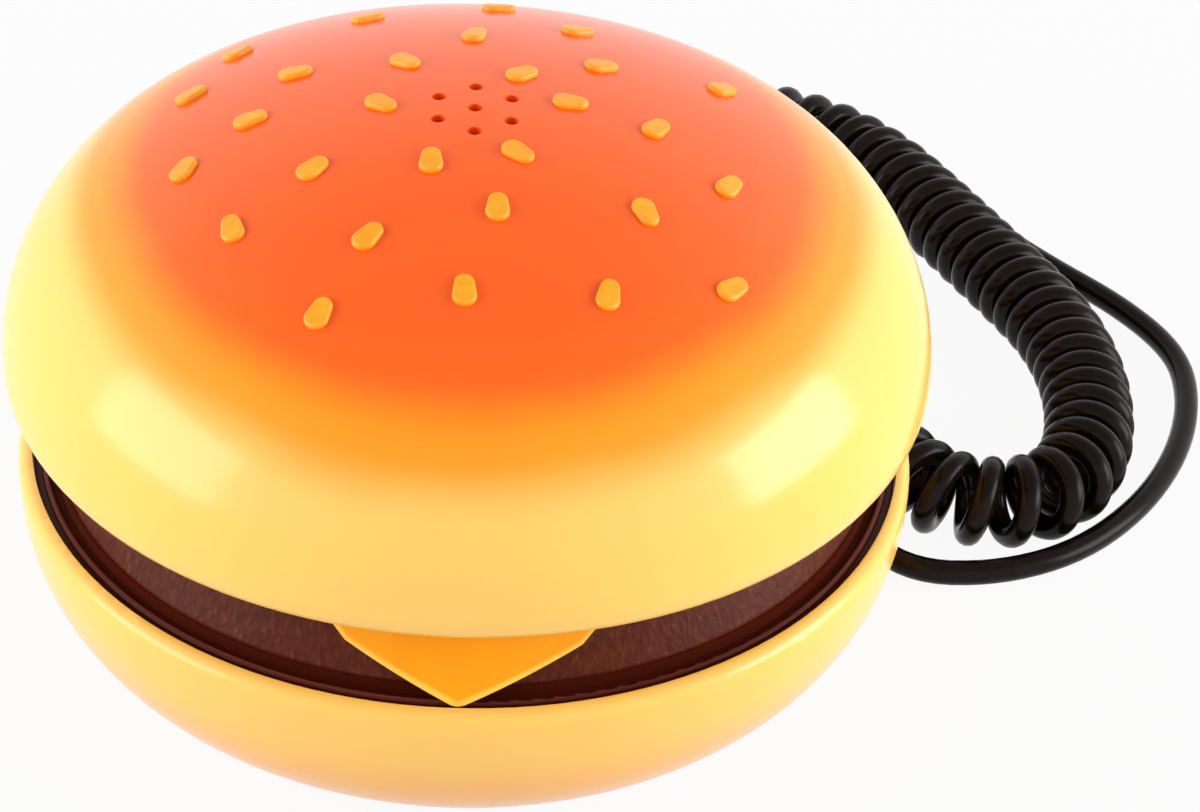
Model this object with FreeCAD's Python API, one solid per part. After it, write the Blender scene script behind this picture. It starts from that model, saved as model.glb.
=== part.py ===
import FreeCAD, Part
import bisect
import math
import os

os.makedirs("parts", exist_ok=True)
V = FreeCAD.Vector
UP = V(0, 0, 1)

# Driving dimensions, in millimetres. Front is -Y, the hinge is at +Y, feet stand on z = 0.
bun_radius = 66.0
equator_z = 44.5
dome_height = 38.0
shoulder_radius = 28.5
rim_turn_in = 1.0
rim_drop = 3.0
lower_radius = 64.5
belly_radius = 28.0
lip_radius = 2.0
lip_top = 27.5
belly_drop = 3.0
foot_height = 0.8
wall = 2.4
plate_wall = 2.2
slice_wall = 1.4
cord_d = 3.6
curl_radius = 5.15
open_angle = 140.0

# Fits and clearances
moving_gap = 0.3
seat_gap = 0.3
slide_fit = 0.05
press_gap = 0.02
curl_gap = 0.47

# Heights that follow from the driving dimensions
rim_radius = bun_radius - rim_turn_in
rim_z = equator_z - rim_drop
top_z = equator_z + dome_height
belly_z = lip_top - belly_drop
lip_inner = lower_radius - lip_radius
seat_z = lip_top - 2.5
floor_z = foot_height + wall
plate_bottom = rim_z + 1.4
plate_top = plate_bottom + plate_wall
plate_radius = rim_radius - wall - 0.6
deck_top = rim_z - 3.4
deck_under = deck_top - plate_wall
slice_top = deck_top + slice_wall
key_top = rim_z - 0.4
key_travel = 1.2
flange_top = deck_under - 0.2
stem_bottom = flange_top - 2.3
board_top = stem_bottom - key_travel - 3.6
board_wall = 1.6
dome_mat_top = stem_bottom - key_travel - 0.2
post_split = 16.0

# Two-arc section of the top bun: a wide crown arc and a tighter shoulder arc
crown_radius = (bun_radius**2 + dome_height**2 - 2 * bun_radius * shoulder_radius) / (
    2 * (dome_height - shoulder_radius)
)
crown_z = top_z - crown_radius
shoulder_x = bun_radius - shoulder_radius
join_angle = math.atan2(crown_radius - dome_height, shoulder_x)
join_radius = crown_radius * math.cos(join_angle)
rim_curve = ((bun_radius - rim_radius) ** 2 + rim_drop**2) / (2 * (bun_radius - rim_radius))

# Patty section
patty_setback = 5.7
patty_taper = 3.2
wall_low_r = lower_radius - patty_setback
wall_top_r = wall_low_r - patty_taper
corner_r = 2.5
flange_r = lip_inner - seat_gap
bead_r = flange_r - 1.4
bead_half = 0.6
bead_height = 0.55
crease_z = lip_top + 0.9
groove_z = lip_top - 0.8
corner_x = wall_top_r - corner_r
corner_z = deck_top - corner_r

# Hinge
barrel_r = 3.6
hinge_y = bun_radius - barrel_r
hinge_z = (rim_z + lip_top) / 2
pin_r = 1.25
knuckle_half = 12.0
ear_end = 21.0

# Board, mat and base
mat_half = 24.6
patty_post_r = 3.5
board_radius = wall_top_r - 7.6
base_flat_r = lower_radius - belly_radius + math.sqrt(belly_radius**2 - (belly_z - foot_height) ** 2)


def four_places(radius, degrees):
    """Four (x, y) places, one in each quarter, at an angle from the X axis."""
    x = radius * math.cos(math.radians(degrees))
    y = radius * math.sin(math.radians(degrees))
    return [(sx * x, sy * y) for sx in (-1, 1) for sy in (-1, 1)]


# Places of the small pieces, as (x, y)
post_x = mat_half + patty_post_r + moving_gap
post_y = 16.0
screw_y = 26.5
post_places = [(sx * post_x, sy * post_y) for sx in (-1, 1) for sy in (-1, 1)]
board_places = [(sx * post_x, sy * screw_y) for sx in (-1, 1) for sy in (-1, 1)]
foot_places = four_places(base_flat_r - 10.6, 54)
lid_places = four_places(plate_radius - 12.5, 45)
bumper_places = [place for place in four_places(wall_top_r - 8.0, 22) if place[1] < 0]
slider_places = {"ringer_slider": (-14.0, -10.0), "tone_slider": (14.0, -10.0)}
slider_travel = 4.0
hook_place = (0.0, wall_top_r - 17.6)
hook_rise = 2.0
exit_z = 10.0
boot_end = 78.0
boot_hole_r = 3.5

# Keys: three columns, four digit rows from the front, and a row of smaller function keys
key_columns = (-17.0, 0.0, 17.0)
key_rows = (-28.5, -16.0, -3.5, 9.0)
function_row = 22.0
nib_height = 0.35
digit_size = (12.0, 8.6)
function_size = (12.0, 6.4)
key_names = (
    ("key_star", "key_0", "key_hash"),
    ("key_7", "key_8", "key_9"),
    ("key_4", "key_5", "key_6"),
    ("key_1", "key_2", "key_3"),
)
function_names = ("key_redial", "key_flash", "key_mute")
key_ledge = 0.8
mic_boss_r = 6.5
mic_place = (0.0, key_rows[0] - digit_size[1] / 2 - key_ledge - mic_boss_r - 2 * moving_gap)


def key_list():
    keys = []
    for row, names in zip(key_rows, key_names):
        for column, name in zip(key_columns, names):
            keys.append((name, column, row, digit_size))
    for column, name in zip(key_columns, function_names):
        keys.append((name, column, function_row, function_size))
    return keys


def section(start, *steps):
    """A closed face in the XZ plane. A step is (x, z), or (mid x, mid z, x, z) for an arc."""
    edges = []
    here = V(start[0], 0, start[1])
    for step in steps + (start,):
        there = V(step[-2], 0, step[-1])
        if len(step) == 4:
            edges.append(Part.Arc(here, V(step[0], 0, step[1]), there).toShape())
        elif (there - here).Length > 1e-6:
            edges.append(Part.LineSegment(here, there).toShape())
        here = there
    return Part.Face(Part.Wire(edges))


def turned(start, *steps):
    return section(start, *steps).revolve(V(0, 0, 0), UP, 360)


def on_arc(x, z, r, angle):
    return (x + r * math.cos(angle), z + r * math.sin(angle))


def rod(r, z0, z1, x=0.0, y=0.0):
    return Part.makeCylinder(r, z1 - z0, V(x, y, z0), UP)


def rod_along(axis, r, length, start):
    return Part.makeCylinder(r, length, start, axis)


def block(x0, x1, y0, y1, z0, z1):
    return Part.makeBox(x1 - x0, y1 - y0, z1 - z0, V(x0, y0, z0))


def rounded_block(size, corner, z0, z1, x, y):
    w, d = size
    body = block(x - w / 2, x + w / 2, y - d / 2, y + d / 2, z0, z1)
    upright = [e for e in body.Edges if abs(e.tangentAt(e.FirstParameter).z) > 0.9]
    return body.makeFillet(corner, upright)


def prism_yz(points, x0, x1):
    """A prism along X from points given as (y, z)."""
    corners = [V(x0, y, z) for y, z in points]
    face = Part.Face(Part.makePolygon(corners + corners[:1]))
    return face.extrude(V(x1 - x0, 0, 0))


def save(name, shape):
    if not shape.isValid():
        print("not valid:", name)
    print(name, "solids", len(shape.Solids), "volume", round(shape.Volume, 1))
    shape.exportStep("parts/" + name + ".step")


def save_group(name, shapes):
    save(name, Part.makeCompound(shapes))


# Top bun


def dome_solid(inset, bottom):
    """The top bun filled in, with its skin moved in by inset."""
    shoulder = shoulder_radius - inset
    crown = crown_radius - inset
    rim = rim_radius - inset
    side_mid = on_arc(shoulder_x, equator_z, shoulder, join_angle / 2)
    join = on_arc(shoulder_x, equator_z, shoulder, join_angle)
    crown_mid = on_arc(0, crown_z, crown, (join_angle + math.pi / 2) / 2)
    turn_in = math.asin(rim_drop / rim_curve)
    rim_mid = on_arc(bun_radius - rim_curve, equator_z, rim_curve - inset, -turn_in / 2)
    lower = on_arc(bun_radius - rim_curve, equator_z, rim_curve - inset, -turn_in)
    return turned(
        (0, bottom),
        (rim, bottom),
        lower,
        rim_mid + (bun_radius - inset, equator_z),
        side_mid + join,
        crown_mid + (0, top_z - inset),
    )


def dome_point(radius):
    """Height of the dome's skin at a radius, and its outward slope (radial, vertical)."""
    if radius < join_radius:
        cx, cz, r = 0.0, crown_z, crown_radius
    else:
        cx, cz, r = shoulder_x, equator_z, shoulder_radius
    rise = math.sqrt(r**2 - (radius - cx) ** 2)
    return cz + rise, ((radius - cx) / r, rise / r)


hole_ring = 5.8
hole_r = 1.0
ringer_holes = [(0.0, 0.0)]
for turn in range(6):
    hole_angle = math.radians(30 + 60 * turn)
    ringer_holes.append((hole_ring * math.cos(hole_angle), hole_ring * math.sin(hole_angle)))
sounder_r = 10.6
sounder_top = top_z - wall - 2.2
sounder_height = 4.5


def top_bun_shell():
    inside = dome_solid(wall / 2, rim_z)
    body = dome_solid(0, rim_z).cut(dome_solid(wall, rim_z - 1))
    ledge = rod(bun_radius, plate_top, plate_top + 2).cut(rod(plate_radius - 2.5, plate_top, plate_top + 2))
    sounder_bottom = sounder_top - sounder_height
    ring = rod(sounder_r + 2.0, sounder_bottom, top_z).cut(rod(sounder_r + 0.1, sounder_bottom, top_z))
    extras = [ledge.common(inside), ring.common(inside)]
    for x, y in lid_places:
        extras.append(rod(3.5, plate_top, top_z, x, y).common(inside))
    body = body.fuse(extras)
    holes = [rod(hole_r, top_z - 8, top_z + 1, x, y) for x, y in ringer_holes]
    for x, y in lid_places:
        holes.append(rod(1.05, plate_top - 1, plate_top + 10, x, y))
    return body.cut(holes).removeSplitter()


# Sesame seeds as (azimuth degrees, radius, heading of the long axis in plan, degrees)
seed_list = (
    (114, 39.5, 20), (86, 42, 15), (65, 34, 25), (91, 24, 75), (140, 45, 45), (151, 29, 0),
    (126, 17, -45), (58, 12, 40), (43, 24, 20), (29, 40, 40), (159, 43, 30), (176, 31, 14),
    (174, 13, -40), (14, 13.5, 0), (1, 25, 55), (-171, 40, 58), (-150, 25, 43), (-114, 14, 90),
    (-60, 12, -40), (-14, 36, 58), (-146, 38.5, 98), (-117, 30, 52), (-81, 22, 90), (-39, 30, -64),
    (-117, 43, 65), (-91, 36, 92), (-62, 39, 86), (-39, 45, 45),
)
seed_big = 1.65
seed_small = 1.35
seed_half = 2.5
seed_rise = 0.75
seed_sink = 0.9
seed_edge = 0.45


def seed_blank():
    """A flat-topped egg-shaped pad with its long axis along X and the bun's skin at z = 0."""
    big_x = seed_big - seed_half
    small_x = seed_half - seed_small
    side = math.acos((seed_big - seed_small) / (small_x - big_x))
    big_end = on_arc(big_x, 0, seed_big, side)
    small_end = on_arc(small_x, 0, seed_small, side)
    face = section(
        big_end,
        (-seed_half, 0, big_end[0], -big_end[1]),
        (small_end[0], -small_end[1]),
        (seed_half, 0) + small_end,
    )
    face.rotate(V(0, 0, 0), V(1, 0, 0), -90)
    face.translate(V(0, 0, -seed_sink))
    pad = face.extrude(V(0, 0, seed_sink + seed_rise))
    top_edges = [e for e in pad.Edges if e.BoundBox.ZMin > seed_rise - 1e-4]
    return pad.makeFillet(seed_edge, top_edges)


def sesame_seeds():
    blank = seed_blank()
    dome = dome_solid(0, rim_z)
    seeds = []
    for azimuth, radius, heading in seed_list:
        z, slope = dome_point(radius)
        out = V(math.cos(math.radians(azimuth)), math.sin(math.radians(azimuth)), 0)
        normal = out * slope[0] + UP * slope[1]
        along = V(math.cos(math.radians(heading)), math.sin(math.radians(heading)), 0)
        along = (along - normal * along.dot(normal)).normalize()
        across = normal.cross(along)
        centre = out * radius + UP * z
        place = FreeCAD.Matrix(
            along.x, across.x, normal.x, centre.x,
            along.y, across.y, normal.y, centre.y,
            along.z, across.z, normal.z, centre.z,
            0, 0, 0, 1,
        )
        seed = blank.copy()
        seed.Placement = FreeCAD.Placement(place)
        seeds.append(seed.cut(dome))
    return seeds


# Earpiece plate

ear_r = 17.0
ear_height = 7.0


def earpiece_plate():
    body = rod(plate_radius, plate_bottom, plate_top)
    ring = rod(ear_r + 2.2, plate_top - 0.5, plate_top + 5).cut(rod(ear_r + 0.1, plate_top, plate_top + 5))
    barrel = rod_along(V(1, 0, 0), barrel_r, 2 * knuckle_half, V(-knuckle_half, hinge_y, hinge_z))
    arm = prism_yz(
        [
            (plate_radius - 6.2, plate_bottom + 0.4),
            (plate_radius - 1.8, plate_bottom + 0.4),
            (plate_radius - 1.8, rim_z - 0.5),
            (hinge_y + 1.8, hinge_z + 3.0),
            (hinge_y, hinge_z),
            (hinge_y - 3.4, hinge_z - 0.6),
        ],
        -knuckle_half,
        knuckle_half,
    )
    body = body.fuse([ring, barrel, arm])
    dish_r, dish_depth = 22.0, 0.9
    dish_ball = (dish_r**2 + dish_depth**2) / (2 * dish_depth)
    cuts = [Part.makeSphere(dish_ball, V(0, 0, plate_bottom + dish_depth - dish_ball))]
    cuts.append(rod_along(V(1, 0, 0), pin_r + slide_fit, 40, V(-20, hinge_y, hinge_z)))
    for ring_r, count in ((0.0, 1), (5.0, 6), (10.0, 12)):
        for turn in range(count):
            angle = 2 * math.pi * turn / count
            cuts.append(rod(0.9, plate_bottom - 1, plate_top + 1, ring_r * math.cos(angle), ring_r * math.sin(angle)))
    for x, y in lid_places:
        cuts.append(rod(2.7, plate_bottom - 1, plate_bottom + 1.3, x, y))
        cuts.append(rod(1.2, plate_bottom, plate_top + 1, x, y))
    return body.cut(cuts)


def crossed_screw(head_r, head_height, shank_r, length, seat, x, y):
    """A screw driven upwards, its head below the seat height, with a crossed recess."""
    screw = rod(head_r, seat - head_height, seat, x, y).fuse(rod(shank_r, seat, seat + length, x, y))
    slot = head_height * 0.6
    half = head_r * 0.6
    bottom = seat - head_height
    screw = screw.cut(block(x - half, x + half, y - 0.35, y + 0.35, bottom, bottom + slot))
    return screw.cut(block(x - 0.35, x + 0.35, y - half, y + half, bottom, bottom + slot))


# Lower bun


def belly_at(z, inset=0.0):
    r = belly_radius - inset
    return lower_radius - belly_radius + math.sqrt(r**2 - (z - belly_z) ** 2)


def lower_bun_shell():
    centre_x = lower_radius - belly_radius
    lip_z = lip_top - lip_radius
    ledge_under = seat_z - 2.0
    ledge_r = lip_inner - 3.0
    skin = belly_radius - wall
    base_angle = -math.asin((belly_z - foot_height) / belly_radius)
    floor_angle = -math.asin((belly_z - floor_z) / skin)
    under_angle = -math.asin((belly_z - ledge_under) / skin)
    body = turned(
        (0, foot_height),
        on_arc(centre_x, belly_z, belly_radius, base_angle),
        on_arc(centre_x, belly_z, belly_radius, base_angle / 2) + (lower_radius, belly_z),
        (lower_radius, lip_z),
        on_arc(lip_inner, lip_z, lip_radius, math.pi / 4) + (lip_inner, lip_top),
        (lip_inner, seat_z),
        (ledge_r, seat_z),
        (ledge_r, ledge_under),
        on_arc(centre_x, belly_z, skin, under_angle),
        on_arc(centre_x, belly_z, skin, (under_angle + floor_angle) / 2)
        + on_arc(centre_x, belly_z, skin, floor_angle),
        (0, floor_z),
    )
    posts = [rod(4.7, foot_height, post_split, x, y) for x, y in post_places]
    for x, y in slider_places.values():
        for side in (-1, 1):
            rail = y + side * 4.4
            posts.append(block(x - 8, x + 8, rail - 0.6, rail + 0.6, floor_z - 0.5, floor_z + 1.5))
    body = body.fuse(posts)
    cuts = [rod_along(V(0, 1, 0), boot_hole_r, 30, V(0, base_flat_r, exit_z))]
    for x, y in post_places:
        cuts.append(rod(3.2, foot_height - 1, 12.5, x, y))
        cuts.append(rod(1.6, 12, post_split + 1, x, y))
    for x, y in foot_places:
        cuts.append(rod(4.6, foot_height - 1, foot_height + 0.4, x, y))
    for x, y in slider_places.values():
        cuts.append(block(x - 4.6, x + 4.6, y - 1.8, y + 1.8, 0, floor_z + 1))
    return body.cut(cuts)


# Patty


def patty_housing():
    corner_mid = on_arc(corner_x, corner_z, corner_r, math.pi / 4)
    body = turned(
        (0, deck_top),
        (corner_x, deck_top),
        corner_mid + (wall_top_r, corner_z),
        (wall_low_r, crease_z),
        (wall_low_r + 0.3, crease_z),
        (wall_low_r + 0.5, groove_z),
        (bead_r - bead_half, groove_z),
        (bead_r, groove_z + bead_height, bead_r + bead_half, groove_z),
        (flange_r, groove_z - 0.2),
        (flange_r, seat_z),
        (wall_low_r - plate_wall, seat_z),
        (wall_top_r - plate_wall, deck_under),
        (0, deck_under),
    )
    extras = [rod(patty_post_r, post_split, deck_under + 0.5, x, y) for x, y in post_places]
    extras += [rod(3.0, board_top, deck_under + 0.5, x, y) for x, y in board_places]
    extras.append(rod(mic_boss_r, deck_under - 4.5, deck_under + 0.5, *mic_place))
    for side in (-1, 1):
        x0, x1 = sorted((side * (knuckle_half + moving_gap), side * ear_end))
        extras.append(block(x0, x1, wall_top_r - 5.6, hinge_y, hinge_z - 2.6, hinge_z + 1.0))
        extras.append(rod_along(V(1, 0, 0), barrel_r, x1 - x0, V(x0, hinge_y, hinge_z)))
    body = body.fuse(extras)
    cuts = [rod_along(V(1, 0, 0), pin_r + press_gap, 60, V(-30, hinge_y, hinge_z))]
    for name, x, y, size in key_list():
        opening = (size[0] + 2 * moving_gap, size[1] + 2 * moving_gap)
        cuts.append(rounded_block(opening, 2.8, deck_under - 1, deck_top + 1, x, y))
    for x, y in post_places:
        cuts.append(rod(1.25, post_split - 1, post_split + 12, x, y))
    for x, y in board_places:
        cuts.append(rod(1.05, board_top - 1, board_top + 6, x, y))
    cuts.append(rod(5.1, deck_under - 5, deck_under, *mic_place))
    cuts += mic_holes()
    cuts.append(rod(2.5, deck_under - 1, deck_top + 1, *hook_place))
    return body.cut(cuts)


def mic_holes():
    x, y = mic_place
    return [rod(0.8, deck_under - 1, slice_top + 1, x + step, y) for step in (-3.0, 0.0, 3.0)]


# Cheese slice: a faceplate over the deck whose front corner folds down the patty

tab_half = 18.6
tab_shoulder_half = 15.8
tab_shift = 0.6
tab_shoulder_z = lip_top + 6.3
tab_tip_z = lip_top - 0.1
tip_round = 3.0


def cheese_faceplate():
    disc = rod(corner_x - 0.6, deck_top, slice_top)
    fold = math.radians(20)
    outer_r = corner_r + slice_wall
    inner_x = corner_x - 5.0
    skirt_r = lip_inner - 1.3
    skirt = turned(
        (inner_x, deck_top),
        (corner_x, deck_top),
        on_arc(corner_x, corner_z, corner_r, (math.pi / 2 + fold) / 2) + on_arc(corner_x, corner_z, corner_r, fold),
        (skirt_r, tab_tip_z - 1),
        (skirt_r + slice_wall, tab_tip_z - 1),
        on_arc(corner_x, corner_z, outer_r, fold),
        on_arc(corner_x, corner_z, outer_r, (math.pi / 2 + fold) / 2) + (corner_x, slice_top),
        (inner_x, slice_top),
    )
    left, right = tab_shift - tab_half, tab_shift + tab_half
    left_shoulder, right_shoulder = tab_shift - tab_shoulder_half, tab_shift + tab_shoulder_half
    rise = math.atan2(tab_shoulder_z - tab_tip_z, tab_shoulder_half)
    tip_x = tip_round * math.sin(rise)
    tip_z = tab_tip_z + tip_round * (1 - math.cos(rise))
    outline = section(
        (left, slice_top + 1),
        (left, tab_shoulder_z + 2.6),
        (left_shoulder, tab_shoulder_z),
        (-tip_x, tip_z),
        (0, tab_tip_z, tip_x, tip_z),
        (right_shoulder, tab_shoulder_z),
        (right, tab_shoulder_z + 2.6),
        (right, slice_top + 1),
    )
    outline.translate(V(0, -lower_radius, 0))
    tab = skirt.common(outline.extrude(V(0, lower_radius / 2, 0)))
    body = disc.fuse(tab).removeSplitter()
    cuts = mic_holes()
    for name, x, y, size in key_list():
        opening = (size[0] + 2 * moving_gap, size[1] + 2 * moving_gap)
        cuts.append(rounded_block(opening, 2.8, deck_top - 1, slice_top + 1, x, y))
    cuts.append(rod(2.5, deck_top - 1, slice_top + 1, *hook_place))
    return body.cut(cuts)


# Keys and switches


def key(name, x, y, size):
    """A cap with a rounded rim, a flange under the deck and a stem; the middle key has a nib to feel."""
    cap = rounded_block(size, 2.5, flange_top - 1.0, key_top, x, y)
    rim = [e for e in cap.Edges if e.BoundBox.ZMin > key_top - 1e-4]
    cap = cap.makeFillet(0.8, rim)
    ledge = (size[0] + 2 * key_ledge, size[1] + 2 * key_ledge)
    flange = rounded_block(ledge, 2.5, flange_top - 1.0, flange_top, x, y)
    pieces = [flange, rod(2.5, stem_bottom, flange_top - 0.9, x, y)]
    if name == "key_5":
        nib_y = y - size[1] / 2 + 1.6
        pieces.append(Part.makeCone(0.6, 0.35, nib_height + 0.2, V(x, nib_y, key_top - 0.2), UP))
    return cap.fuse(pieces)


def keypad_mat():
    body = block(-mat_half, mat_half, key_rows[0] - 7, function_row + 5.5, board_top, board_top + 1.2)
    domes = []
    for name, x, y, size in key_list():
        height = dome_mat_top - board_top - 1.0
        domes.append(Part.makeCone(4.0, 2.8, height, V(x, y, board_top + 1.0), UP))
    return body.fuse(domes)


def circuit_board():
    body = rod(board_radius, board_top - board_wall, board_top)
    cuts = [rod(4.0, 0, 60, x, y) for x, y in post_places]
    cuts += [rod(1.2, 0, 60, x, y) for x, y in board_places]
    return body.cut(cuts)


def hook_plunger():
    collar_z = deck_under - hook_rise - 1.5
    body = rod(2.2, collar_z, plate_bottom - moving_gap, *hook_place)
    return body.fuse(rod(3.6, collar_z, collar_z + 1.2, *hook_place))


def hook_switch_body():
    x, y = hook_place
    return block(x - 6, x + 6, y - 4, y + 4, board_top, deck_under - hook_rise - 1.8)


def slider(x, y):
    """A slide knob at the left end of its travel, with its carrier plate inside."""
    left = x - slider_travel / 2
    knob = block(left - 2, left + 2, y - 1.5, y + 1.5, foot_height + 0.2, floor_z + 0.5)
    return knob.fuse(block(left - 5, left + 5, y - 3.5, y + 3.5, floor_z, floor_z + 1.2))


# Strain relief and plug


def strain_relief():
    collar_r = 4.8
    cone_start = belly_at(exit_z + 4.3) + 0.4
    collar_end = belly_at(exit_z - collar_r, wall) - 0.4
    body = rod(boot_hole_r - 0.1, collar_end, cone_start)
    cone = Part.makeCone(4.3, 2.7, boot_end - cone_start, V(0, 0, cone_start), UP)
    body = body.fuse([rod(collar_r, collar_end - 1.5, collar_end), cone])
    for step in range(4):
        z = cone_start + 2.0 + 3.2 * step
        body = body.cut(rod(8, z, z + 1.3).cut(rod(2.4, z, z + 1.3)))
    body.rotate(V(0, 0, 0), V(1, 0, 0), -90)
    body.translate(V(0, 0, exit_z))
    return body


plug_length = 12.4
plug_width = 9.6
plug_height = 6.6


def to_plug(shape, start, heading):
    """Turns a piece drawn along +X from the origin to lie at the cord's end."""
    shape.rotate(V(0, 0, 0), UP, math.degrees(math.atan2(heading.y, heading.x)))
    shape.translate(V(start.x, start.y, 0))
    return shape


def contact_places():
    return [(step - 1.5) * 1.1 for step in range(4)]


def modular_plug(start, heading):
    body = block(0, plug_length, -plug_width / 2, plug_width / 2, 0, plug_height)
    latch = Part.Face(
        Part.makePolygon(
            [V(x, -1.6, z) for x, z in ((1.5, 9.6), (11.4, 6.4), (12.2, 6.4), (12.2, 7.3), (1.5, 10.6), (1.5, 9.6))]
        )
    ).extrude(V(0, 3.2, 0))
    body = body.fuse(latch)
    for y in contact_places():
        body = body.cut(block(plug_length - 5, plug_length + 1, y - 0.25, y + 0.25, -1, 2.6))
    return to_plug(body, start, heading)


def plug_contacts(start, heading):
    pieces = []
    for y in contact_places():
        blade = block(plug_length - 4.9, plug_length - 0.4, y - 0.2, y + 0.2, 0.5, 2.55)
        pieces.append(to_plug(blade, start, heading))
    return pieces


# Cord: a lead from the boot, the curl, and the plain tail to the plug

cord_z = cord_d / 2
curl_z = cord_z + curl_radius
curl_route = (
    (55, 47), (61, 39), (66.3, 28.5), (70, 20.5), (76.5, 15.5), (84.5, 16), (91.5, 21.5), (95.5, 30),
    (96.8, 40), (95, 52), (90, 65), (83, 78.5), (75.5, 92), (67.5, 106), (59, 118), (49, 124.5),
    (38, 127), (27, 126),
)
lead_route = (
    (0, 88, exit_z), (3, 97.5, 6.5), (11, 103.5, 2.4), (21.5, 104.5, cord_z), (32.5, 99, cord_z), (43, 86, cord_z),
    (49, 73.5, cord_z),
)
tail_route = (
    (6, 140.5), (5.8, 150.5), (12.6, 157.8), (22.4, 158.6), (32.5, 152.5), (44, 143.5), (56, 132.5), (69, 119),
    (83, 103.5), (97, 88.5), (108, 76), (114.5, 63), (115, 50), (111.5, 35.5), (104, 21), (93, 9), (80, 3), (67, 3),
    (59.5, 12.5), (56.5, 23), (50.5, 34.5), (42.5, 45),
)
tail_end = (33.5, 53.5)
end_stretch = 50.0
stretch_length = 6.0


def curl_table():
    """Curve of the curl's axis, with the turn angle reached at each of its sample parameters."""
    curve = Part.BSplineCurve()
    curve.interpolate([V(x, y, curl_z) for x, y in curl_route])
    count = 3000
    first, last = curve.FirstParameter, curve.LastParameter
    params = [first + (last - first) * i / count for i in range(count + 1)]
    points = [curve.value(u) for u in params]
    steps = [(b - a).Length for a, b in zip(points, points[1:])]
    length = sum(steps)
    angles = [0.0]
    along = 0.0
    for u, step in zip(params, steps):
        close = (cord_d + curl_gap) / (1 - curl_radius * abs(curve.curvature(u)))
        opened = math.exp(-along / stretch_length) + math.exp((along - length) / stretch_length)
        angles.append(angles[-1] + step * 2 * math.pi / (close + end_stretch * opened))
        along += step
    turns = round(angles[-1] / (2 * math.pi))
    scale = turns * 2 * math.pi / angles[-1]
    print("curl: axis", round(length, 1), "turns", turns)
    return curve, params, [a * scale for a in angles], turns


def curl_point(table, angle):
    curve, params, angles, turns = table
    i = min(max(bisect.bisect_right(angles, angle) - 1, 0), len(angles) - 2)
    part = (angle - angles[i]) / (angles[i + 1] - angles[i])
    u = params[i] + part * (params[i + 1] - params[i])
    heading = curve.tangent(u)[0]
    side = UP.cross(heading)
    return curve.value(u) - side * (curl_radius * math.sin(angle)) - UP * (curl_radius * math.cos(angle))


def curl_heading(table, angle):
    small = 0.01
    last = table[3] * 2 * math.pi
    a, b = max(angle - small, 0), min(angle + small, last)
    return (curl_point(table, b) - curl_point(table, a)).normalize()


def bent(a, corner, b):
    """The arc from a to b that is tangent to the lines from a and b to corner."""
    middle = (a + b) * 0.5
    half = (b - a).Length / 2
    away = corner - middle
    bend = math.atan2(away.Length, half)
    return Part.Arc(a, middle + away.normalize() * (half * math.tan(bend / 2)), b).toShape()


def biarc(p0, t0, p1, t1):
    v = p1 - p0
    both = v.dot(t0 + t1)
    spread = 2 * (1 - t0.dot(t1))
    d = (-both + math.sqrt(both**2 + spread * v.dot(v))) / spread
    c0 = p0 + t0 * d
    c1 = p1 - t1 * d
    middle = (c0 + c1) * 0.5
    return [bent(p0, c0, middle), bent(middle, c1, p1)]


def swept(edges, start, heading):
    ring = Part.Wire(Part.Circle(start, heading, cord_d / 2).toShape())
    return Part.Wire(edges).makePipeShell([ring], True, False)


def report_tube(name, shape, edges):
    length = sum(e.Length for e in edges)
    expected = math.pi * (cord_d / 2) ** 2 * length
    print(name, "length", round(length, 1), "volume ratio", round(shape.Volume / expected, 4))


def curl_gap_to_itself(edges):
    """The least gap between turns, from points along the wire."""
    points = []
    along = [0.0]
    for e in edges:
        for p in e.discretize(7)[:-1]:
            if points:
                along.append(along[-1] + (p - points[-1]).Length)
            points.append(p)
    least = 1e9
    skip = math.pi * curl_radius
    for i, p in enumerate(points):
        for j in range(i + 1, min(i + 160, len(points))):
            if along[j] - along[i] > skip:
                least = min(least, (points[j] - p).Length)
    return least - cord_d


def cord_curl(table):
    turns = table[3]
    quarter = math.pi / 2
    angles = [quarter * i for i in range(4 * turns + 1)]
    points = [curl_point(table, a) for a in angles]
    headings = [curl_heading(table, a) for a in angles]
    edges = []
    for i in range(len(points) - 1):
        edges += biarc(points[i], headings[i], points[i + 1], headings[i + 1])
    start = points[0] - headings[0] * cord_d
    end = points[-1] + headings[-1] * cord_d
    edges = (
        [Part.LineSegment(start, points[0]).toShape()] + edges + [Part.LineSegment(points[-1], end).toShape()]
    )
    shape = swept(edges, start, headings[0])
    report_tube("cord_curl", shape, edges)
    print("curl: least gap", round(curl_gap_to_itself(edges), 3), "lowest", round(shape.BoundBox.ZMin, 3))
    return shape, (start, headings[0]), (end, headings[-1])


def plain_cord(name, points):
    """A tube of straight runs joined by tangent arcs."""
    edges = []
    here = points[0]
    radii = []
    for a, b, c in zip(points, points[1:], points[2:]):
        back, on = a - b, c - b
        turn = math.pi - back.getAngle(on)
        reach = 0.45 * min(back.Length, on.Length)
        radii.append(round(reach / math.tan(turn / 2), 1))
        into = b + back.normalize() * reach
        out = b + on.normalize() * reach
        edges.append(Part.LineSegment(here, into).toShape())
        edges.append(bent(into, b, out))
        here = out
    edges.append(Part.LineSegment(here, points[-1]).toShape())
    shape = swept(edges, points[0], points[1] - points[0])
    print(name, "radii", radii)
    report_tube(name, shape, edges)
    return shape


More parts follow.
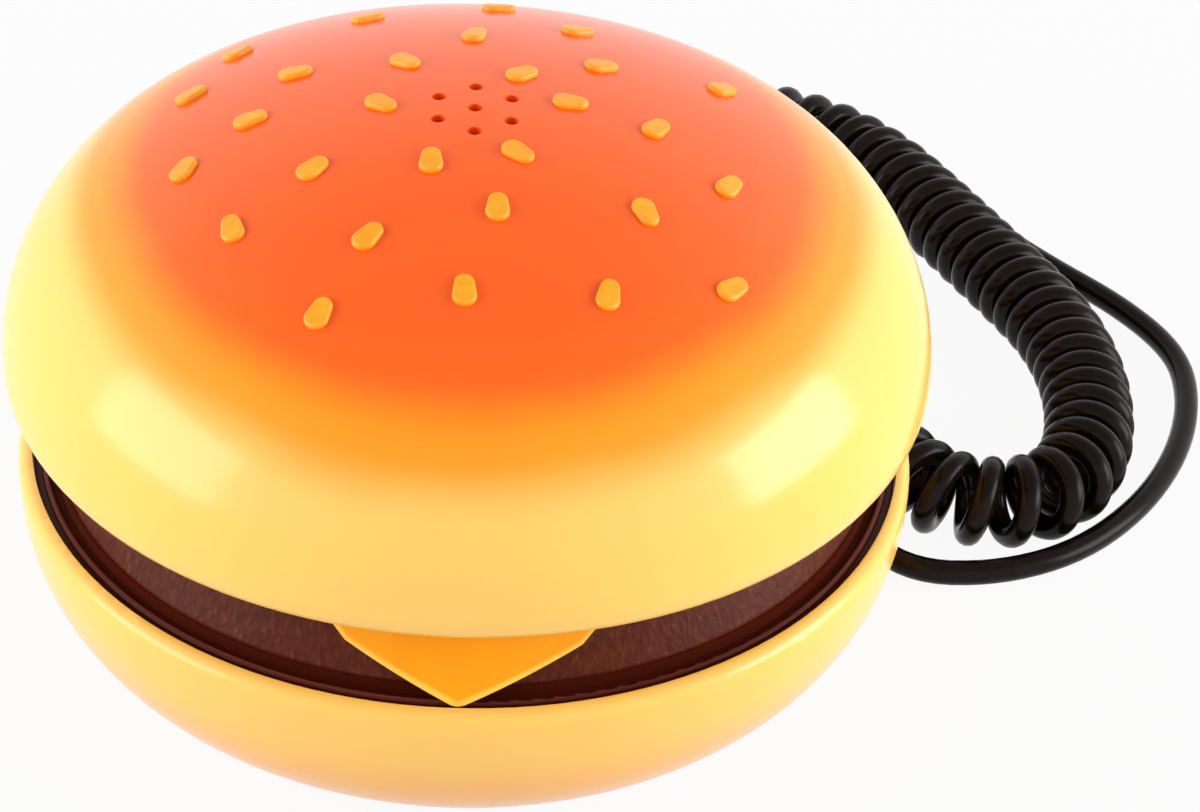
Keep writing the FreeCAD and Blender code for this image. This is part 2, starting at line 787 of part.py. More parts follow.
def main():
    save("top_bun_shell", top_bun_shell())
    save_group("sesame_seeds", sesame_seeds())
    save("earpiece_plate", earpiece_plate())
    save("earpiece_capsule", rod(ear_r, plate_top, plate_top + ear_height))
    save("ringer_sounder", rod(sounder_r, sounder_top - sounder_height, sounder_top))
    save_group(
        "lid_screws", [crossed_screw(2.5, 1.2, 1.0, plate_wall + 6, plate_bottom + 1.3, x, y) for x, y in lid_places]
    )
    save("lower_bun_shell", lower_bun_shell())
    save("patty_housing", patty_housing())
    save("cheese_faceplate", cheese_faceplate())
    save("keypad_mat", keypad_mat())
    save("circuit_board", circuit_board())
    save("microphone_capsule", rod(5.0, deck_under - 4.5, deck_under, *mic_place))
    save("hook_switch_body", hook_switch_body())
    save("hook_plunger", hook_plunger())
    save("hinge_pin", rod_along(V(1, 0, 0), pin_r, 2 * ear_end + 1, V(-ear_end - 0.5, hinge_y, hinge_z)))
    save_group("lid_bumpers", [rod(3.0, slice_top, plate_bottom - moving_gap, x, y) for x, y in bumper_places])
    save_group("rubber_feet", [rod(4.5, 0, foot_height + 0.4, x, y) for x, y in foot_places])
    save_group("base_screws", [crossed_screw(2.8, 2.2, 1.2, 14, 12.5, x, y) for x, y in post_places])
    board_under = board_top - board_wall
    save_group("board_screws", [crossed_screw(2.2, 1.6, 1.0, 7, board_under, x, y) for x, y in board_places])
    switch_blocks = []
    for name, (x, y) in slider_places.items():
        save(name, slider(x, y))
        switch_blocks.append(block(x - 8, x + 8, y - 5, y + 5, floor_z + 1.5, floor_z + 6))
    save_group("slide_switches", switch_blocks)
    for name, x, y, size in key_list():
        save(name, key(name, x, y, size))
    save("strain_relief", strain_relief())

    table = curl_table()
    curl, (start, start_way), (end, end_way) = cord_curl(table)
    save("cord_curl", curl)
    lead = [V(0, boot_end, exit_z)] + [V(*p) for p in lead_route] + [start - start_way * 11, start]
    save("cord_lead", plain_cord("cord_lead", lead))
    tail = [end, end + end_way * 12] + [V(x, y, cord_z) for x, y in tail_route] + [V(*tail_end, cord_z)]
    save("cord_tail", plain_cord("cord_tail", tail))
    plug_way = tail[-1] - tail[-2]
    save("modular_plug", modular_plug(tail[-1], plug_way))
    save_group("plug_contacts", plug_contacts(tail[-1], plug_way))


main()
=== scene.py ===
import math

import bmesh
import bpy
from mathutils import Matrix, Vector


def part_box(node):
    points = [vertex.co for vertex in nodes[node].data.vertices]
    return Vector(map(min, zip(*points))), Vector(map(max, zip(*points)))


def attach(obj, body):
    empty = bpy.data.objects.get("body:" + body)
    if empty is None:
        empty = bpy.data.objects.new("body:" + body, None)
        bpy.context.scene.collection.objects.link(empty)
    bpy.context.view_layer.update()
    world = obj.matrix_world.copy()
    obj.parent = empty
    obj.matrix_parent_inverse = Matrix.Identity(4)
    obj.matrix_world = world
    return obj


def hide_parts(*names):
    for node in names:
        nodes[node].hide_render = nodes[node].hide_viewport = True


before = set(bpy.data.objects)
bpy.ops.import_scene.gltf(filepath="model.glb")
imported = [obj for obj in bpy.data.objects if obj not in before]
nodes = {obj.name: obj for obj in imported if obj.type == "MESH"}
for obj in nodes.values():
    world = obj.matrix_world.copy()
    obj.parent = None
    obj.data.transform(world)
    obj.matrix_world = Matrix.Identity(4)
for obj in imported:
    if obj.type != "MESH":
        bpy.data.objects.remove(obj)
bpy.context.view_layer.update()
MM = 0.001

# Sizes shared with the solids, in millimetres
lip_top = 27.5
crease_z = 28.4
bead_r = 60.8
slice_tip = 27.4
slice_shoulder = 33.8
slice_shoulder_half = 15.8
slice_fold = 36.4
slice_half = 18.6
slice_shift = 0.6
key_top = 41.1
foot_height = 0.8
boot_end = 78.0
exit_z = 10.0

# The cord, a little thicker than in the solids so that its turns all but touch
cord_d = 3.8
cord_z = cord_d / 2
curl_radius = 5.15
curl_z = cord_z + curl_radius
curl_turns = 36
curl_pitch = 4.07
bend_room = 0.65
curl_in = 14.0
curl_out = 15.0

# Printed and raised words: a font's size for each millimetre of its capitals, then heights in millimetres
font_per_capital = 1.4
ink_thickness = 0.06
number_height = 3.9
letter_height = 1.5
long_letter_height = 1.25
word_height = 1.9
moulded_height = 1.8
moulded_rise = 0.4


# Camera and cord


def add_camera():
    """A long lens, 36 mm wide sensor, turned and rolled as the photograph was taken."""
    elevation = math.radians(35.41)
    turn = math.radians(-2.1)
    roll = math.radians(-2.865)
    data = bpy.data.cameras.new("camera")
    data.lens = 121.47
    data.sensor_width = 36.0
    data.clip_start = 0.05
    data.clip_end = 20.0
    obj = bpy.data.objects.new("camera", data)
    upright = Matrix.Rotation(turn, 4, "Z") @ Matrix.Rotation(math.pi / 2 - elevation, 4, "X")
    stand = Matrix.Translation(Vector((1.7, -476.6, 371.9)) * MM)
    obj.matrix_world = stand @ upright @ Matrix.Rotation(-roll, 4, "Z")
    bpy.context.scene.collection.objects.link(obj)
    bpy.context.scene.camera = obj


# Routes of the cord in millimetres, within about 3 mm of the solids' to follow the photograph
lead_route = (
    (0, boot_end, exit_z), (0, 88, exit_z), (3, 97.5, 6.5), (11, 103.5, 2.4), (21.5, 104.5, cord_z),
    (32.5, 99, cord_z), (43, 86, cord_z), (49, 73.5, cord_z),
)
curl_route = (
    (55, 47), (59.5, 38), (63, 28.5), (67.5, 20), (74.5, 14.5), (83, 13.8), (90.5, 17.5), (95.3, 26),
    (97.2, 37), (97, 49), (94.2, 61.5), (88.7, 73), (82.3, 85), (76, 97), (69.5, 108.5), (60.5, 117.5),
    (49.5, 122.5), (38.5, 125), (27, 126),
)
tail_route = (
    (6, 140.5), (5.8, 150.5), (12.6, 157.8), (22.4, 158.6), (33, 153), (45, 143.5), (58, 132), (72, 119.5),
    (83, 104), (95, 88.5), (107, 76), (114.5, 63), (115, 50), (111.5, 35.5), (104, 21), (93, 9), (80, 3),
    (67, 3), (59.5, 12.5), (56.5, 23), (50.5, 34.5), (42.5, 45), (33.5, 53.5),
)


def spline_curve(name, points, resolution):
    """A smooth open NURBS curve with these control points."""
    curve = bpy.data.curves.new(name, "CURVE")
    curve.dimensions = "3D"
    curve.resolution_u = resolution
    spline = curve.splines.new("NURBS")
    spline.points.add(len(points) - 1)
    for knot, point in zip(spline.points, points):
        knot.co = (*point, 1.0)
    spline.order_u = 3
    spline.use_endpoint_u = True
    obj = bpy.data.objects.new(name, curve)
    bpy.context.scene.collection.objects.link(obj)
    return obj


def spline_points(points):
    """Points along the spline, read from its curve, which has no bevel."""
    obj = spline_curve("route", points, 32)
    bpy.context.view_layer.update()
    mesh = bpy.data.meshes.new_from_object(obj)
    line = [v.co.copy() for v in mesh.vertices]
    bpy.data.meshes.remove(mesh)
    bpy.data.curves.remove(obj.data)
    return line


def curl_points():
    """Control points of the helix round the curl's axis, more open in a bend and at the ends."""
    axis = spline_points([Vector((x, y, curl_z)) for x, y in curl_route])
    steps = [(b - a).length for a, b in zip(axis, axis[1:])]
    length = sum(steps)
    end_stretch, stretch_length = 50.0, 6.0
    turned = [0.0]
    along = 0.0
    for i, step in enumerate(steps):
        bend = 0.0
        if 0 < i < len(steps) - 1:
            bend = (axis[i + 1] - axis[i]).angle(axis[i] - axis[i - 1]) / step
        close = curl_pitch / (1 - bend_room * curl_radius * bend)
        opened = math.exp(-along / stretch_length) + math.exp((along - length) / stretch_length)
        turned.append(turned[-1] + step * 2 * math.pi / (close + end_stretch * opened))
        along += step
    scale = curl_turns * 2 * math.pi / turned[-1]
    per_turn = 12
    reach = curl_radius / math.cos(math.pi / per_turn)
    points = []
    i = 0
    for count in range(curl_turns * per_turn + 1):
        angle = 2 * math.pi * count / per_turn
        while i < len(steps) - 1 and turned[i + 1] * scale < angle:
            i += 1
        share = (angle / scale - turned[i]) / (turned[i + 1] - turned[i])
        here = axis[i].lerp(axis[i + 1], share)
        side = Vector((0, 0, 1)).cross((axis[i + 1] - axis[i]).normalized())
        points.append(here - side * reach * math.sin(angle) - Vector((0, 0, reach * math.cos(angle))))
    return points


def add_cord(material):
    """One cord in a single curve: from the boot, through the curl, along the tail to the plug."""
    helix = curl_points()
    into = (helix[1] - helix[0]).normalized()
    out = (helix[-1] - helix[-2]).normalized()
    points = [Vector(p) for p in lead_route]
    points.append(helix[0] - into * curl_in)
    points[-1].z = cord_z
    points += helix
    points.append(helix[-1] + out * curl_out)
    points[-1].z = cord_z
    points += [Vector((x, y, cord_z)) for x, y in tail_route]
    cord = spline_curve("telephone_cord", [p * MM for p in points], 6)
    cord.data.bevel_depth = cord_d / 2 * MM
    cord.data.bevel_resolution = 5
    cord.data.use_fill_caps = True
    cord.data.materials.append(material)
    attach(cord, "base")
    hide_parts("cord_lead", "cord_curl", "cord_tail")


# Colours and materials


def colour(hex_value):
    """sRGB hex to linear RGBA."""
    channels = [int(hex_value[i : i + 2], 16) / 255 for i in (1, 3, 5)]
    linear = [c / 12.92 if c <= 0.04045 else ((c + 0.055) / 1.055) ** 2.4 for c in channels]
    return (*linear, 1.0)


def add(tree, kind, inputs=None, **settings):
    """A node with its settings, each socket set to a value or linked from another socket."""
    node = tree.nodes.new(kind)
    for name, value in settings.items():
        setattr(node, name, value)
    for name, value in (inputs or {}).items():
        if isinstance(value, bpy.types.NodeSocket):
            tree.links.new(value, node.inputs[name])
        else:
            node.inputs[name].default_value = value
    return node


def new_material(name, **sockets):
    """A material with its shader's steady sockets set, its tree, shader and Object coordinates."""
    material = bpy.data.materials.new(name)
    material.use_nodes = True
    tree = material.node_tree
    shader = tree.nodes["Principled BSDF"]
    for socket, value in sockets.items():
        shader.inputs[socket.replace("_", " ")].default_value = value
    place = add(tree, "ShaderNodeTexCoord").outputs["Object"]
    return material, tree, shader, place


def set_stops(node, stops, ease="LINEAR"):
    """Sets a colour ramp's (position, colour) stops."""
    node.color_ramp.interpolation = ease
    elements = node.color_ramp.elements
    while len(elements) < len(stops):
        elements.new(0.5)
    for element, (position, value) in zip(elements, stops):
        element.position = position
        element.color = value


def orange_peel(tree, shader, place):
    """The faint waviness of a glossy moulded surface."""
    peel = add(
        tree, "ShaderNodeTexNoise", {"Vector": place, "Scale": 1 / (2.5 * MM), "Detail": 1.0}
    ).outputs["Fac"]
    bump = add(tree, "ShaderNodeBump", {"Height": peel, "Strength": 0.03, "Distance": 0.05 * MM})
    tree.links.new(bump.outputs["Normal"], shader.inputs["Normal"])


def airbrushed_bun():
    """Moulded ABS, its crown sprayed orange in a slight oval with a soft edge; its holes glow a little."""
    material, tree, shader, place = new_material(
        "abs_airbrushed_bun",
        Roughness=0.17,
        IOR=1.5,
        Subsurface_Weight=0.15,
        Subsurface_Radius=(1.0, 0.3, 0.1),
        Subsurface_Scale=2 * MM,
    )
    oval = (1.05, 0.97, 0.0)
    flat = add(tree, "ShaderNodeVectorMath", {0: place, 1: oval}, operation="MULTIPLY").outputs["Vector"]
    radius = add(tree, "ShaderNodeVectorMath", {0: flat}, operation="LENGTH").outputs["Value"]
    drift = add(
        tree, "ShaderNodeTexNoise", {"Vector": place, "Scale": 1 / (30 * MM), "Detail": 2.0}
    ).outputs["Fac"]
    sway = add(
        tree, "ShaderNodeMapRange", {"Value": drift, "To Min": -1.5 * MM, "To Max": 1.5 * MM}
    ).outputs[0]
    uneven = add(tree, "ShaderNodeMath", {0: radius, 1: sway}, operation="ADD").outputs[0]
    spray = add(
        tree, "ShaderNodeMapRange", {"Value": uneven, "From Min": 40 * MM, "From Max": 66 * MM}
    ).outputs[0]
    paint = add(tree, "ShaderNodeValToRGB", {"Fac": spray})
    set_stops(
        paint,
        [
            (0.0, colour("#FC6010")),
            (0.25, colour("#FC640C")),
            (0.59, colour("#FC9B14")),
            (0.82, colour("#FCC862")),
        ],
        "EASE",
    )
    tree.links.new(paint.outputs["Color"], shader.inputs["Base Color"])
    orange_peel(tree, shader, place)
    return material


def cream_bun():
    """Moulded ABS in its own cream colour, glossy; shade is painted in, darker and more orange towards the
    underside.
    """
    material, tree, shader, place = new_material("abs_cream_bun", Roughness=0.2, IOR=1.5)
    height = add(tree, "ShaderNodeSeparateXYZ", {0: place}).outputs[2]
    rise = add(tree, "ShaderNodeMapRange", {"Value": height, "From Max": lip_top * MM}).outputs[0]
    body = add(tree, "ShaderNodeValToRGB", {"Fac": rise})
    # The lower stops are painted shade: darker, more orange towards the underside, not the plastic's own
    # colour.
    stops = [(0.0, colour("#F6A350")), (0.35, colour("#F9B356")), (0.75, colour("#FCC45E"))]
    set_stops(body, stops, "EASE")
    tree.links.new(body.outputs["Color"], shader.inputs["Base Color"])
    orange_peel(tree, shader, place)
    return material


def painted_seed():
    """Paint dabbed on the moulded seeds: semi-gloss, faintly mottled."""
    material, tree, shader, place = new_material("painted_sesame", Roughness=0.3, IOR=1.5)
    mottle = add(
        tree, "ShaderNodeTexNoise", {"Vector": place, "Scale": 1 / (3.0 * MM), "Detail": 3.0}
    ).outputs["Fac"]
    paint = add(tree, "ShaderNodeValToRGB", {"Fac": mottle})
    set_stops(paint, [(0.3, colour("#F29A14")), (0.7, colour("#FBA81E"))])
    tree.links.new(paint.outputs["Color"], shader.inputs["Base Color"])
    return material


def grained_patty():
    """Moulded ABS, dark brown: fine upright streaks on the wall, a glossy flange, a paler line painted
    along its bead as a highlight.
    """
    material, tree, shader, place = new_material("abs_grained_patty", IOR=1.5, Specular_IOR_Level=0.11)
    axes = add(tree, "ShaderNodeSeparateXYZ", {0: place}).outputs
    flat = add(tree, "ShaderNodeCombineXYZ", {0: axes[0], 1: axes[1]}).outputs[0]
    radius = add(tree, "ShaderNodeVectorMath", {0: flat}, operation="LENGTH").outputs["Value"]
    etched = add(
        tree,
        "ShaderNodeMapRange",
        {"Value": axes[2], "From Min": (crease_z - 0.1) * MM, "From Max": (crease_z + 0.3) * MM},
    ).outputs[0]
    upright = add(tree, "ShaderNodeMapping", {"Vector": place, "Scale": (1, 1, 0.18)}).outputs[0]
    streaks = add(tree, "ShaderNodeTexNoise", {"Vector": upright, "Scale": 1 / (0.7 * MM), "Detail": 3.0})
    fine = add(tree, "ShaderNodeTexNoise", {"Vector": place, "Scale": 1 / (0.8 * MM), "Detail": 4.0})
    relief = add(
        tree, "ShaderNodeMath", {0: streaks.outputs["Fac"], 1: fine.outputs["Fac"]}, operation="ADD"
    ).outputs[0]
    grain = add(tree, "ShaderNodeMath", {0: relief, 1: etched}, operation="MULTIPLY").outputs[0]
    bump = add(tree, "ShaderNodeBump", {"Height": grain, "Strength": 0.4, "Distance": 0.3 * MM})
    tint = add(tree, "ShaderNodeValToRGB", {"Fac": streaks.outputs["Fac"]})
    set_stops(tint, [(0.3, colour("#481A0A")), (0.6, colour("#5A2510")), (0.85, colour("#744024"))])
    # A paler band painted along the bead's crest, a painted highlight rather than wear.
    bead_highlight_half = 0.5 * MM
    off_bead = add(tree, "ShaderNodeMath", {0: radius, 1: bead_r * MM}, operation="SUBTRACT").outputs[0]
    off_bead = add(tree, "ShaderNodeMath", {0: off_bead}, operation="ABSOLUTE").outputs[0]
    painted_bead_highlight = add(
        tree,
        "ShaderNodeMapRange",
        {"Value": off_bead, "From Max": bead_highlight_half, "To Min": 1.0, "To Max": 0.0},
    ).outputs[0]
    flange = add(
        tree,
        "ShaderNodeMix",
        {"Factor": painted_bead_highlight, "A": colour("#431509"), "B": colour("#743C31")},
        data_type="RGBA",
    )
    skin = add(
        tree,
        "ShaderNodeMix",
        {"Factor": etched, "A": flange.outputs["Result"], "B": tint.outputs["Color"]},
        data_type="RGBA",
    )
    gloss = add(tree, "ShaderNodeMapRange", {"Value": etched, "To Min": 0.2, "To Max": 0.42}).outputs[0]
    tree.links.new(skin.outputs["Result"], shader.inputs["Base Color"])
    tree.links.new(gloss, shader.inputs["Roughness"])
    tree.links.new(bump.outputs["Normal"], shader.inputs["Normal"])
    return material


def cheese_slice():
    """Moulded polypropylene: satin orange-yellow, faintly waxy, with a pale highlight painted along its
    edges below the fold.
    """
    material, tree, shader, place = new_material(
        "pp_cheese", Roughness=0.45, IOR=1.49, Specular_IOR_Level=0.2
    )
    wax = add(
        tree, "ShaderNodeTexNoise", {"Vector": place, "Scale": 1 / (6 * MM), "Detail": 2.0}
    ).outputs["Fac"]
    tint = add(tree, "ShaderNodeValToRGB", {"Fac": wax})
    set_stops(tint, [(0.3, colour("#FB9C08")), (0.7, colour("#FDA30E"))])
    axes = add(tree, "ShaderNodeSeparateXYZ", {0: place}).outputs
    above = add(tree, "ShaderNodeMath", {0: axes[2], 1: slice_tip * MM}, operation="SUBTRACT").outputs[0]
    slant = -slice_shift / (slice_shoulder - slice_tip)
    lean = add(tree, "ShaderNodeMath", {0: above, 1: slant, 2: axes[0]}, operation="MULTIPLY_ADD")
    aside = add(tree, "ShaderNodeMath", {0: lean.outputs[0]}, operation="ABSOLUTE").outputs[0]
    tip, shoulder = (0, slice_tip), (slice_shoulder_half, slice_shoulder)
    sides = []
    for low, high in ((tip, shoulder), (shoulder, (slice_half, slice_fold))):
        run, rise = high[0] - low[0], high[1] - low[1]
        length = math.hypot(run, rise)
        start = (low[0] * rise - (low[1] - slice_tip) * run) / length * MM
        up = add(tree, "ShaderNodeMath", {0: above, 1: run / length, 2: start}, operation="MULTIPLY_ADD")
        side = add(
            tree,
            "ShaderNodeMath",
            {0: aside, 1: -rise / length, 2: up.outputs[0]},
            operation="MULTIPLY_ADD",
        )
        sides.append(side.outputs[0])
    inset = add(tree, "ShaderNodeMath", {0: sides[0], 1: sides[1]}, operation="MINIMUM").outputs[0]
    # A pale line painted along the tab's side edges below the fold: a painted highlight where rounded edges
    # would catch the light.
    edge = add(
        tree,
        "ShaderNodeMapRange",
        {"Value": inset, "From Min": 0.3 * MM, "From Max": 0.7 * MM, "To Min": 0.75, "To Max": 0.0},
    ).outputs[0]
    folded = add(
        tree,
        "ShaderNodeMapRange",
        {
            "Value": axes[2],
            "From Min": slice_fold * MM,
            "From Max": (slice_fold + 1) * MM,
            "To Min": 1.0,
            "To Max": 0.0,
        },
    ).outputs[0]
    painted_edge_highlight = add(tree, "ShaderNodeMath", {0: edge, 1: folded}, operation="MULTIPLY").outputs[0]
    skin = add(
        tree,
        "ShaderNodeMix",
        {"Factor": painted_edge_highlight, "A": tint.outputs["Color"], "B": colour("#FFD257")},
        data_type="RGBA",
    )
    bump = add(tree, "ShaderNodeBump", {"Height": wax, "Strength": 0.05, "Distance": 0.1 * MM})
    tree.links.new(skin.outputs["Result"], shader.inputs["Base Color"])
    tree.links.new(bump.outputs["Normal"], shader.inputs["Normal"])
    return material


def speckled(name, low, high, roughness, size_mm, strength, **sockets):
    """A moulded surface in two close tones, spark-eroded to a grain of this size."""
    material, tree, shader, place = new_material(name, Roughness=roughness, **sockets)
    grain = add(
        tree, "ShaderNodeTexNoise", {"Vector": place, "Scale": 1 / (size_mm * MM), "Detail": 3.0}
    ).outputs["Fac"]
    tint = add(tree, "ShaderNodeValToRGB", {"Fac": grain})
    set_stops(tint, [(0.35, colour(low)), (0.65, colour(high))])
    bump = add(tree, "ShaderNodeBump", {"Height": grain, "Strength": strength, "Distance": 0.1 * MM})
    tree.links.new(tint.outputs["Color"], shader.inputs["Base Color"])
    tree.links.new(bump.outputs["Normal"], shader.inputs["Normal"])
    return material


def solder_mask_board():
    """Glass-epoxy board under green solder mask, its copper tracks showing as paler lines."""
    material, tree, shader, place = new_material("fr4_solder_mask", Roughness=0.3, IOR=1.5)
    tracks = add(
        tree,
        "ShaderNodeTexBrick",
        {
            "Vector": place,
            "Color1": colour("#17512C"),
            "Color2": colour("#1B5A31"),
            "Mortar": colour("#2F7D48"),
            "Scale": 1 / (12 * MM),
            "Mortar Size": 0.04,
        },
    )
    tree.links.new(tracks.outputs["Color"], shader.inputs["Base Color"])
    return material


def brushed_metal(name, low, high, roughness):
    """Plated metal, its fine drawing marks run along X."""
    material, tree, shader, place = new_material(name, Metallic=1.0)
    along, across = 1 / (8 * MM), 1 / (0.3 * MM)
    drawn = add(tree, "ShaderNodeMapping", {"Vector": place, "Scale": (along, across, across)}).outputs[0]
    marks = add(tree, "ShaderNodeTexNoise", {"Vector": drawn, "Scale": 1.0, "Detail": 2.0}).outputs["Fac"]
    tint = add(tree, "ShaderNodeValToRGB", {"Fac": marks})
    set_stops(tint, [(0.3, colour(low)), (0.7, colour(high))])
    worn = add(
        tree, "ShaderNodeMapRange", {"Value": marks, "To Min": roughness, "To Max": roughness + 0.15}
    )
    tree.links.new(tint.outputs["Color"], shader.inputs["Base Color"])
    tree.links.new(worn.outputs[0], shader.inputs["Roughness"])
    return material


def clear_plug():
    """Moulded clear polycarbonate, faintly clouded where it is thick."""
    material, tree, shader, place = new_material(
        "polycarbonate_clear", Roughness=0.08, IOR=1.58, Transmission_Weight=0.75
    )
    cloud = add(tree, "ShaderNodeTexNoise", {"Vector": place, "Scale": 1 / (4 * MM)}).outputs["Fac"]
    tint = add(tree, "ShaderNodeValToRGB", {"Fac": cloud})
    set_stops(tint, [(0.2, colour("#DDE3E6")), (0.8, colour("#F2F5F6"))])
    tree.links.new(tint.outputs["Color"], shader.inputs["Base Color"])
    return material


def dress_nodes():
    """Gives every CAD node that stays its material."""
    bun = airbrushed_bun()
    cream = cream_bun()
    keys = speckled("abs_key_cap", "#33190F", "#3B1F14", 0.38, 0.6, 0.12, IOR=1.5)
    black = speckled("abs_black_moulded", "#131313", "#1C1B1B", 0.45, 0.8, 0.15, IOR=1.5)
    rubber = speckled("rubber_black", "#141312", "#1E1C1B", 0.7, 1.0, 0.2, IOR=1.5)
    steel = brushed_metal("steel_zinc_plated", "#A9ADB0", "#C9CCCE", 0.25)
    finishes = {
        "top_bun_shell": bun,
        "lower_bun_shell": cream,
        "earpiece_plate": cream,
        "hook_plunger": cream,
        "sesame_seeds": painted_seed(),
        "patty_housing": grained_patty(),
        "cheese_faceplate": cheese_slice(),
        "keypad_mat": speckled("silicone_keypad", "#8B8B86", "#97978F", 0.55, 1.2, 0.1, IOR=1.41),
        "circuit_board": solder_mask_board(),
        "strain_relief": speckled("pvc_boot", "#171211", "#211A18", 0.45, 1.0, 0.1, IOR=1.52),
        "modular_plug": clear_plug(),
        "plug_contacts": brushed_metal("contact_gold_plated", "#D9A441", "#EBC063", 0.2),
    }
    for name in (
        "microphone_capsule", "earpiece_capsule", "ringer_sounder", "hook_switch_body", "slide_switches",
        "ringer_slider", "tone_slider",
    ):
        finishes[name] = black
    for name in ("lid_bumpers", "rubber_feet"):
        finishes[name] = rubber
    for name in ("hinge_pin", "lid_screws", "base_screws", "board_screws"):
        finishes[name] = steel
    for name, obj in nodes.items():
        if name.startswith("key_"):
            finishes[name] = keys
        if name in finishes:
            obj.data.materials.clear()
            obj.data.materials.append(finishes[name])


# Words and numbers printed on the keys, and raised by the switches underneath


def add_words(name, words, height, x, y, z, thickness, body, material, underside=False):
    """Flat letters centred on a place in millimetres, made a mesh, then laid on that place."""
    curve = bpy.data.curves.new(name, "FONT")
    curve.body = words
    curve.size = height * font_per_capital * MM
    curve.align_x = "CENTER"
    curve.align_y = "CENTER"
    curve.extrude = thickness / 2 * MM
    curve.resolution_u = 4
    draft = bpy.data.objects.new(name, curve)
    bpy.context.scene.collection.objects.link(draft)
    bpy.context.view_layer.update()
    mesh = bpy.data.meshes.new_from_object(draft)
    bpy.data.curves.remove(curve)
    place = Matrix.Translation(Vector((x, y, z)) * MM)
    if underside:
        place = place @ Matrix.Rotation(math.pi, 4, "X")
    mesh.transform(place)
    mesh.materials.clear()
    mesh.materials.append(material)
    piece = bpy.data.objects.new(name, mesh)
    bpy.context.scene.collection.objects.link(piece)
    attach(piece, body)


def add_key_legends(material):
    """Digits, letters, signs and plain words on the keys, each riding on its own key."""
    letters = {
        "2": "ABC", "3": "DEF", "4": "GHI", "5": "JKL", "6": "MNO", "7": "PQRS", "8": "TUV", "9": "WXYZ",
    }
    signs = {"star": ("*", 7.5, -1.9), "hash": ("#", 4.2, 0.0)}
    words = {"redial": "REDIAL", "flash": "FLASH", "mute": "MUTE"}
    number_aside, letters_aside, row_up = -2.6, 2.2, 0.3
    for name in nodes:
        if not name.startswith("key_"):
            continue
        mark = name[len("key_") :]
        low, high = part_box(name)
        x, y = [(a + b) / 2 / MM for a, b in zip(low[:2], high[:2])]
        printed = (key_top, ink_thickness, name + "_body", material)
        if mark in words:
            add_words(name + "_word", words[mark], word_height, x, y, *printed)
        elif mark in letters:
            size = letter_height if len(letters[mark]) == 3 else long_letter_height
            add_words(name + "_number", mark, number_height, x + number_aside, y + row_up, *printed)
            add_words(name + "_letters", letters[mark], size, x + letters_aside, y + row_up, *printed)
        elif mark in signs:
            sign, height, drop = signs[mark]
            add_words(name + "_sign", sign, height, x, y + drop, *printed)
        else:
            add_words(name + "_number", mark, number_height, x, y + row_up, *printed)


def add_switch_words(material):
    """Raised words on the underside, their faces printed brown, read from below."""
    half_travel, title_up, word_aside = 2.0, 4.4, 7.2
    raised = (foot_height, moulded_rise, "base", material)
    for node, title, left, right in (
        ("ringer_slider", "RINGER", "LO", "HI"),
        ("tone_slider", "DIAL", "P", "T"),
    ):
        low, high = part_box(node)
        x, y = [(a + b) / 2 / MM for a, b in zip(low[:2], high[:2])]
        x += half_travel
        for part, words, dx, dy in (
            ("title", title, 0, title_up),
            ("left", left, -word_aside, 0),
            ("right", right, word_aside, 0),
        ):
            add_words(node + "_" + part, words, moulded_height, x + dx, y + dy, *raised, underside=True)


# Studio


def seen_rays(tree):
    """1 for rays from the camera, in reflections and through clear pieces, 0 for light on a surface."""
    rays = add(tree, "ShaderNodeLightPath").outputs
    direct = add(
        tree, "ShaderNodeMath", {0: rays["Is Camera Ray"], 1: rays["Is Glossy Ray"]}, operation="MAXIMUM"
    ).outputs[0]
    return add(
        tree, "ShaderNodeMath", {0: direct, 1: rays["Is Transmission Ray"]}, operation="MAXIMUM"
    ).outputs[0]


def studio_floor():
    """A wide pale table: white to the camera, with the object's soft shadow left on it."""
    material = bpy.data.materials.new("studio_paper")
    material.use_nodes = True
    tree = material.node_tree
    paper = tree.nodes["Principled BSDF"]
    paper.inputs["Base Color"].default_value = colour("#CFCFCF")
    paper.inputs["Roughness"].default_value = 0.9
    white_share = 0.93
    lift = add(tree, "ShaderNodeMath", {0: seen_rays(tree), 1: white_share}, operation="MULTIPLY")
    white = add(tree, "ShaderNodeEmission", {"Color": (1, 1, 1, 1), "Strength": 1.0})
    mixed = add(tree, "ShaderNodeMixShader", {0: lift.outputs[0], 1: paper.outputs[0], 2: white.outputs[0]})
    tree.links.new(mixed.outputs[0], tree.nodes["Material Output"].inputs["Surface"])
    below_feet = Matrix.Translation((0, 0, -0.15 * MM))
    shape = bmesh.new()
    bmesh.ops.create_grid(shape, x_segments=1, y_segments=1, size=4.0, matrix=below_feet)
    mesh = bpy.data.meshes.new("studio_floor")
    shape.to_mesh(mesh)
    shape.free()
    mesh.materials.append(material)
    floor = bpy.data.objects.new("studio_floor", mesh)
    bpy.context.scene.collection.objects.link(floor)


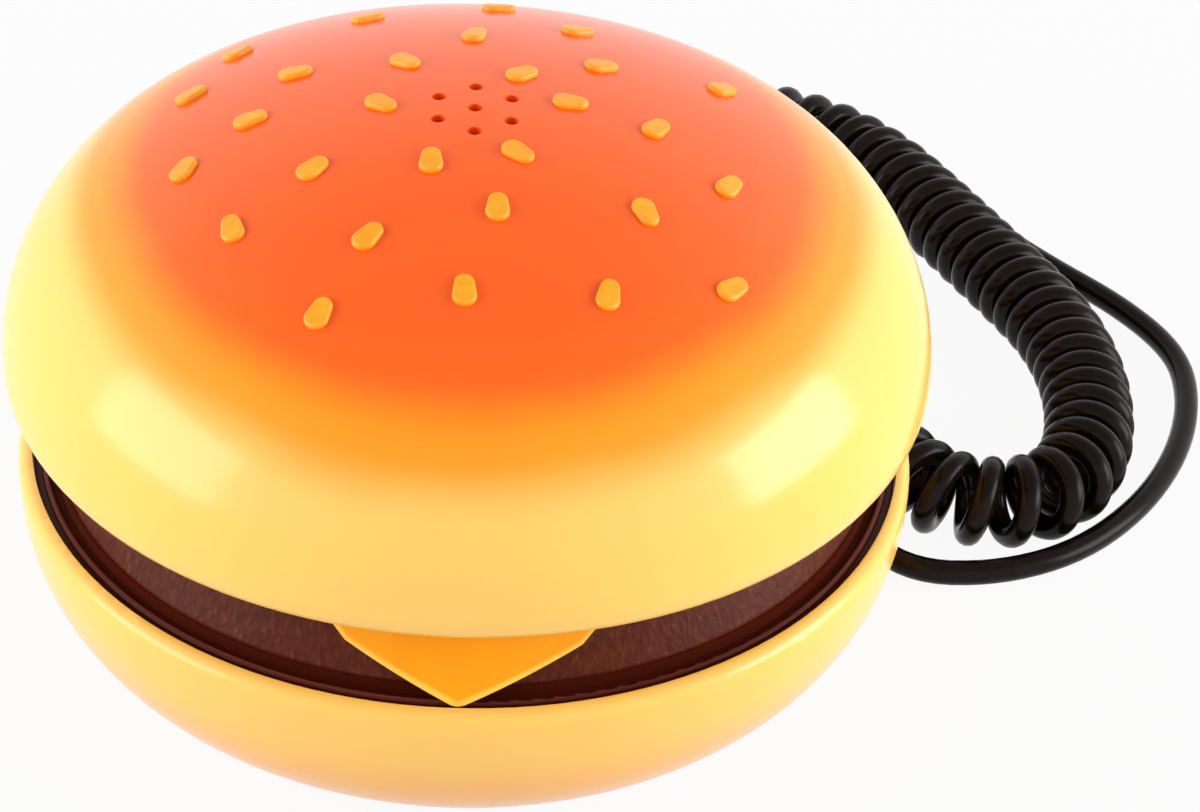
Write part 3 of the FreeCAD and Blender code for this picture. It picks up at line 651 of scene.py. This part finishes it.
def studio_world():
    """White, darker overhead; its side walls give more light than the camera and reflections see."""
    world = bpy.data.worlds.new("studio")
    bpy.context.scene.world = world
    world.use_nodes = True
    tree = world.node_tree
    tree.nodes.clear()
    way = add(tree, "ShaderNodeTexCoord").outputs["Generated"]
    axes = add(tree, "ShaderNodeSeparateXYZ", {0: way}).outputs
    dome = add(tree, "ShaderNodeValToRGB", {"Fac": axes[2]})
    set_stops(dome, [(0.45, (1, 1, 1, 1)), (0.9, (0.5, 0.5, 0.5, 1))], "EASE")
    aside = add(tree, "ShaderNodeMath", {0: axes[0]}, operation="ABSOLUTE").outputs[0]
    walls = add(
        tree,
        "ShaderNodeMapRange",
        {"Value": aside, "From Min": 0.3, "From Max": 0.9, "To Min": 0.2, "To Max": 3.3},
    ).outputs[0]
    light = add(tree, "ShaderNodeBackground", {"Color": dome.outputs[0], "Strength": walls})
    shown = add(tree, "ShaderNodeBackground", {"Color": dome.outputs[0], "Strength": 1.0})
    mixed = add(tree, "ShaderNodeMixShader", {0: seen_rays(tree), 1: light.outputs[0], 2: shown.outputs[0]})
    output = add(tree, "ShaderNodeOutputWorld")
    tree.links.new(mixed.outputs[0], output.inputs["Surface"])


def softbox(name, azimuth, elevation, width, height, strength):
    """A rectangular soft lamp aimed at the telephone; azimuth turns from the front towards +X."""
    data = bpy.data.lights.new(name, "AREA")
    data.shape = "RECTANGLE"
    data.size = width
    data.size_y = height
    data.energy = strength * math.pi * width * height
    lamp = bpy.data.objects.new(name, data)
    turn, rise = math.radians(azimuth), math.radians(elevation)
    way = Vector((math.sin(turn) * math.cos(rise), -math.cos(turn) * math.cos(rise), math.sin(rise)))
    target, distance = Vector((0, 0, 0.05)), 0.9
    lamp.location = target + way * distance
    lamp.rotation_euler = way.to_track_quat("Z", "Y").to_euler()
    lamp.visible_camera = False
    bpy.context.scene.collection.objects.link(lamp)


add_camera()
add_cord(
    speckled("pvc_cord_jacket", "#100A08", "#18100D", 0.22, 2.0, 0.04, IOR=1.52, Specular_IOR_Level=0.13)
)
dress_nodes()
add_key_legends(speckled("pad_print_ink", "#F2E6C8", "#F7ECD2", 0.4, 0.5, 0.02, IOR=1.5))
add_switch_words(speckled("pad_print_brown", "#6B3A1E", "#754222", 0.45, 0.5, 0.02, IOR=1.5))
studio_floor()
studio_world()
softbox("softbox_left", -74, 13, 0.6, 0.5, 3.0)
softbox("softbox_right", 82, 11, 0.55, 0.46, 5.0)
bpy.context.scene.view_settings.view_transform = "Standard"
